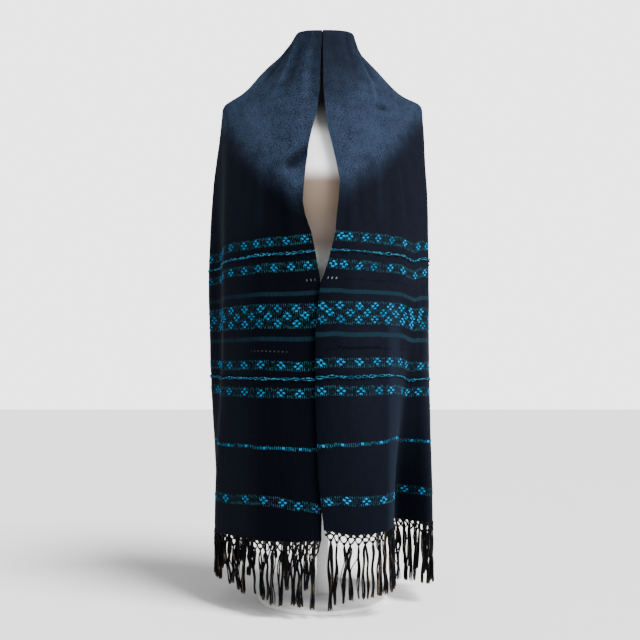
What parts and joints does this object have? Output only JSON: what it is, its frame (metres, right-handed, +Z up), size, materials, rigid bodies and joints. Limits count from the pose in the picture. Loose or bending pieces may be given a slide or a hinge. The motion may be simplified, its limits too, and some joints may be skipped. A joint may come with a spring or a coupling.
{
  "type": "rebozo shawl on a dress form",
  "caption": "Handwoven navy rebozo shawl with turquoise woven bands and knotted fringe, draped over a limbless dress form on a round base.",
  "frame": {"origin": "centre of the underside of the stand's round base, on the floor", "axes": "+Z up, the shawl's front faces -Y, +X is the viewer's right"},
  "size_m": [0.4727, 0.3329, 1.1757],
  "materials": {
    "cloth": "matt handwoven cotton, navy with turquoise bands",
    "fringe": "matt cotton yarn, knotted",
    "form": "off-white jersey stretched over a smooth form",
    "stand": "white powder coat"
  },
  "bodies": {
    "root": {"shoulder_left": "cloth", "shoulder_right": "cloth", "front_left": "cloth", "front_right": "cloth", "side_left": "cloth", "side_right": "cloth", "back": "cloth", "fringe_front_left": "fringe", "fringe_side_left": "fringe", "fringe_front_right": "fringe", "fringe_side_right": "fringe", "form_body": "form", "stand_pole": "stand", "stand_base": "stand"}
  },
  "joints": []
}
